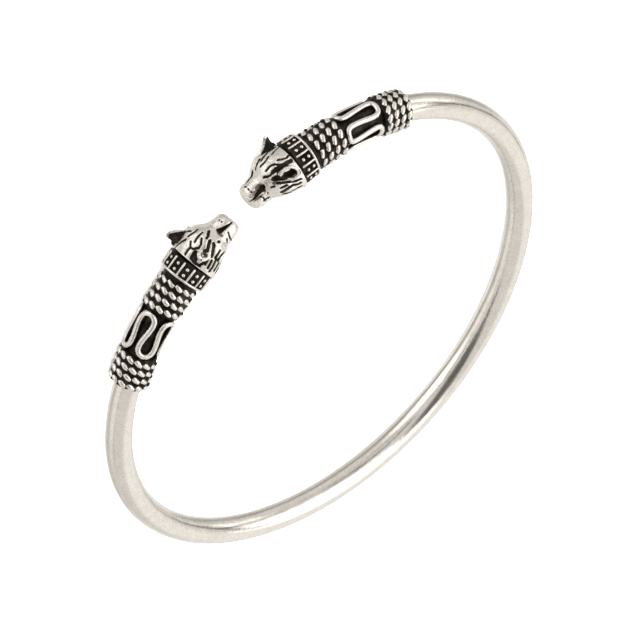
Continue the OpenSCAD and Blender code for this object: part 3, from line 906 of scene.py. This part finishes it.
# The fur on the underside and on the cheek towards the wrist, the same on both castings.
under_strokes = [
    (fur, 1, 0.34, (0.5, -80), (1.05, -82), (2.0, -80)),
    (fur, 1, 0.38, (2.1, -87), (2.7, -90), (3.2, -97)),
    (fur, 1, 0.34, (2.2, -74), (2.6, -75), (3.1, -77)), (fur, 1, 0.34, (0.7, -68), (1.6, -67)),
    (fur, 1, 0.38, (0.9, -95), (1.8, -96)), (fur, 1, 0.36, (0.8, -108), (1.9, -111))]
for cheek in (1, -1):
    under_strokes += [
        (fur, 1, 0.34, (0.8, 126 * cheek), (1.5, 127 * cheek), (2.3, 124 * cheek)),
        (fur, 1, 0.32, (2.6, 130 * cheek), (3.3, 127 * cheek)),
        (fur, 1, 0.34, (0.5, 141 * cheek), (1.2, 143 * cheek), (1.9, 141 * cheek)),
        (fur, 1, 0.30, (2.2, 146 * cheek), (2.9, 143 * cheek), (3.5, 144 * cheek)),
        (fur, 1, 0.32, (0.9, 157 * cheek), (1.7, 159 * cheek), (2.4, 157 * cheek)),
        (fur, 1, 0.26, (2.7, 162 * cheek), (3.3, 160 * cheek)),
        (0.12, 0.9, 0.2, (5.1, 118 * cheek), (5.2, 135 * cheek), (5.3, 152 * cheek))]
under_strokes.append((fur, 1, 0.3, (0.6, 174), (1.3, 175), (2.1, 174)))
head_piece("right", 0.24, right_strokes + under_strokes, right_dabs_and_shade, (near_right, far_right), 0.95)
head_piece("left", -0.27, left_strokes + under_strokes, left_dabs_and_shade, (near_left, far_left), 1.0)


# Floor, light and camera: a white table, soft light from the room and two fill lights, and the view
# of the photograph, which is turned on its side. The table and the two lights don't show in
# reflections, where the room's own patches stand for them.
TABLE = 2
floor = mesh_object("floor", [(x * TABLE, y * TABLE, 0) for x, y in (
    (-1, -1), (1, -1), (1, 1), (-1, 1))], [(0, 1, 2, 3)])
white = bpy.data.materials.new("white table")
white.use_nodes = True
for key, value in (("Base Color", (0.93, 0.93, 0.93, 1)), ("Roughness", 0.9),
                   ("Emission Color", (1, 1, 1, 1)), ("Emission Strength", 0.3)):
    white.node_tree.nodes["Principled BSDF"].inputs[key].default_value = value
floor.data.materials.append(white)
floor.visible_glossy = False

scene = bpy.context.scene
world = bpy.data.worlds.new("studio")
world.use_nodes = True
scene.world = world
studio = world.node_tree


def toward(azimuth, elevation):
    """A direction: azimuth from the front of the table to the right, elevation above it."""
    az, el = math.radians(azimuth), math.radians(elevation)
    return (math.sin(az) * math.cos(el), -math.cos(az) * math.cos(el), math.sin(el))


# What stands round the table. Columns: azimuth, elevation, angles where a patch is full and where
# it ends, and its brightness.
PATCHES = [
    # walls, the table seen from below its edge, and its pale front edge
    (90, 10, 60, 140, 0.72), (-40, -62, 50, 78, 0.72), (75, -52, 25, 55, 1.0),
    (14, -25, 19, 29, 1.45), (-170, -20, 10, 50, 0.90), (-174, 32, 16, 38, 0.95),
    (90, -6, 10, 28, 0.86),
    # the big window on the left, its sill and the pale wall below
    (-80, 55, 28, 32, 1.7), (-108, 63, 24, 28, 1.7), (-57, 55, 17, 21, 1.7), (-70, 74, 18, 23, 1.6),
    (-104, 14, 8, 12, 1.45), (-92, 4, 7, 12, 1.35)]
# Long narrow things. Columns: azimuth and elevation of both ends, half width where it is full and
# where it ends, and brightness.
BANDS = [
    # the shadow of the ring's own lower edge
    (-125, -18, -100, -36, 5, 17, 0.46), (-100, -36, -65, -50, 5, 17, 0.42),
    (-65, -50, -20, -52, 5, 17, 0.42), (-20, -52, 15, -70, 5, 15, 0.42),
    (15, -70, 50, -56, 5, 17, 0.42), (50, -56, 80, -42, 6, 20, 0.46),
    (80, -42, 112, -38, 6, 20, 0.52), (112, -38, 140, -30, 6, 20, 0.62),
    # the far edge of the room's wall on the right
    (70, 15, 93, 8, 1, 5, 0.52), (93, 8, 115, 3, 1, 5, 0.54), (115, 3, 140, -1, 1, 5, 0.6),
    (140, -1, 160, 1, 1, 5, 0.66),
    # the window's frame and sill
    (-150, 6, -134, 11, 1, 4, 0.4), (-134, 11, -123, 18, 1.5, 5, 0.14),
    (-123, 18, -106, 22, 1.5, 5, 0.16), (-121, 18, -116, 28, 1.5, 4, 0.10),
    (-116, 28, -119, 39, 1.5, 4, 0.25), (-119, 39, -127, 48, 1.5, 4, 0.35),
    (-101, 18, -76, 13, 1, 4, 0.4), (-76, 13, -45, 4, 1, 5, 0.5), (-45, 17, -30, 23, 3, 9, 0.4),
    (-30, 23, -6, 22, 4, 10, 0.30),
    # the camera on its arm, at the front right
    (12, 73, 22, 62, 7, 17, 0.26), (22, 62, 32, 48, 9, 20, 0.17), (32, 48, 38, 36, 11, 22, 0.15),
    (38, 36, 50, 27, 7, 17, 0.15), (50, 27, 68, 20, 3, 10, 0.24)]
ROOM_LEVEL, ROOM_COLOUR = 0.74, (1.0, 0.985, 0.96, 1)


def vector_node(operation, **values):
    return node(studio, "ShaderNodeVectorMath", operation=operation, **values)


def lit(level, bright, share):
    """The room's brightness, led over to that of one thing as far as it covers the view."""
    change = math_node(studio, "SUBTRACT", bright, level)
    return math_node(studio, "MULTIPLY_ADD", change, share, level)


look = node(studio, "ShaderNodeTexCoord").outputs["Generated"]
plain = node(studio, "ShaderNodeValue")
plain.outputs[0].default_value = ROOM_LEVEL
level = plain.outputs[0]
for azimuth, elevation, full, end, bright in PATCHES:
    near = vector_node("DOT_PRODUCT", in_1=toward(azimuth, elevation))
    wire(look, near.inputs[0])
    level = lit(level, bright, eased(studio, near.outputs["Value"], math.cos(math.radians(end)),
                                     math.cos(math.radians(full))))
for az1, el1, az2, el2, full, end, bright in BANDS:
    one, other = np.array(toward(az1, el1)), np.array(toward(az2, el2))
    span = other - one
    from_one = vector_node("SUBTRACT", in_1=tuple(one))
    wire(look, from_one.inputs[0])
    along = vector_node("DOT_PRODUCT", in_1=tuple(span / (span @ span)))
    wire(from_one.outputs["Vector"], along.inputs[0])
    along = math_node(studio, "ADD", along.outputs["Value"], 0.0, clamp=True)
    on_line = vector_node("MULTIPLY_ADD", in_1=tuple(span), in_2=tuple(one))
    wire(along, on_line.inputs[0])
    off_line = vector_node("DISTANCE")
    wire(on_line.outputs["Vector"], off_line.inputs[0])
    wire(look, off_line.inputs[1])
    level = lit(level, bright, eased(studio, off_line.outputs["Value"], math.radians(end),
                                     math.radians(full)))
wire(level, studio.nodes["Background"].inputs["Strength"])
studio.nodes["Background"].inputs["Color"].default_value = ROOM_COLOUR


def soft_box(name, at, size, power):
    """A fill light that looks at the ring and isn't seen in it."""
    light = bpy.data.objects.new(name, bpy.data.lights.new(name, "AREA"))
    light.data.shape = "RECTANGLE"
    light.data.size, light.data.size_y = size
    light.data.energy = power
    light.location = at
    light.rotation_euler = (-light.location).to_track_quat("-Z", "Y").to_euler()
    light.visible_glossy = False
    bpy.context.collection.objects.link(light)


soft_box("fill from the front", (-0.15, -0.7, 0.8), (0.9, 0.9), 60)
soft_box("fill from the left", (-0.9, -0.5, 0.5), (0.9, 0.9), 45)

# The camera, as it was fitted to the photograph: angles, distance in mm, and the focal length and
# the shift of the middle in pixels.
AZIMUTH, ELEVATION, ROLL = (math.radians(v) for v in (6.16, 33.15, 131.69))
DISTANCE, FOCAL, OFF_X, OFF_Y, PIXELS, SENSOR = 800.0, 6676.0, 1.1, -1.5, 640, 36
back = np.array((math.sin(AZIMUTH) * math.cos(ELEVATION), -math.cos(AZIMUTH) * math.cos(ELEVATION),
                 math.sin(ELEVATION)))
sideways = np.cross(-back, (0, 0, 1))
sideways /= np.linalg.norm(sideways)
above = np.cross(sideways, -back)
right = math.cos(ROLL) * sideways + math.sin(ROLL) * above
top = -math.sin(ROLL) * sideways + math.cos(ROLL) * above
home = lay_down("right", np.zeros(3))
pose = Matrix.Identity(4)
for i, axis in enumerate((right, top, back)):
    for k, v in enumerate((lay_down("right", axis) - home) * 1000):
        pose[k][i] = v
for k, v in enumerate(lay_down("right", back * DISTANCE)):
    pose[k][3] = v
camera = bpy.data.objects.new("camera", bpy.data.cameras.new("camera"))
bpy.context.collection.objects.link(camera)
camera.matrix_world = pose
camera.data.sensor_width = SENSOR
camera.data.lens = FOCAL / PIXELS * SENSOR
camera.data.shift_x, camera.data.shift_y = -OFF_X / PIXELS, OFF_Y / PIXELS
camera.data.clip_start, camera.data.clip_end = 0.1, 5
scene.camera = camera
scene.view_settings.view_transform = "Standard"
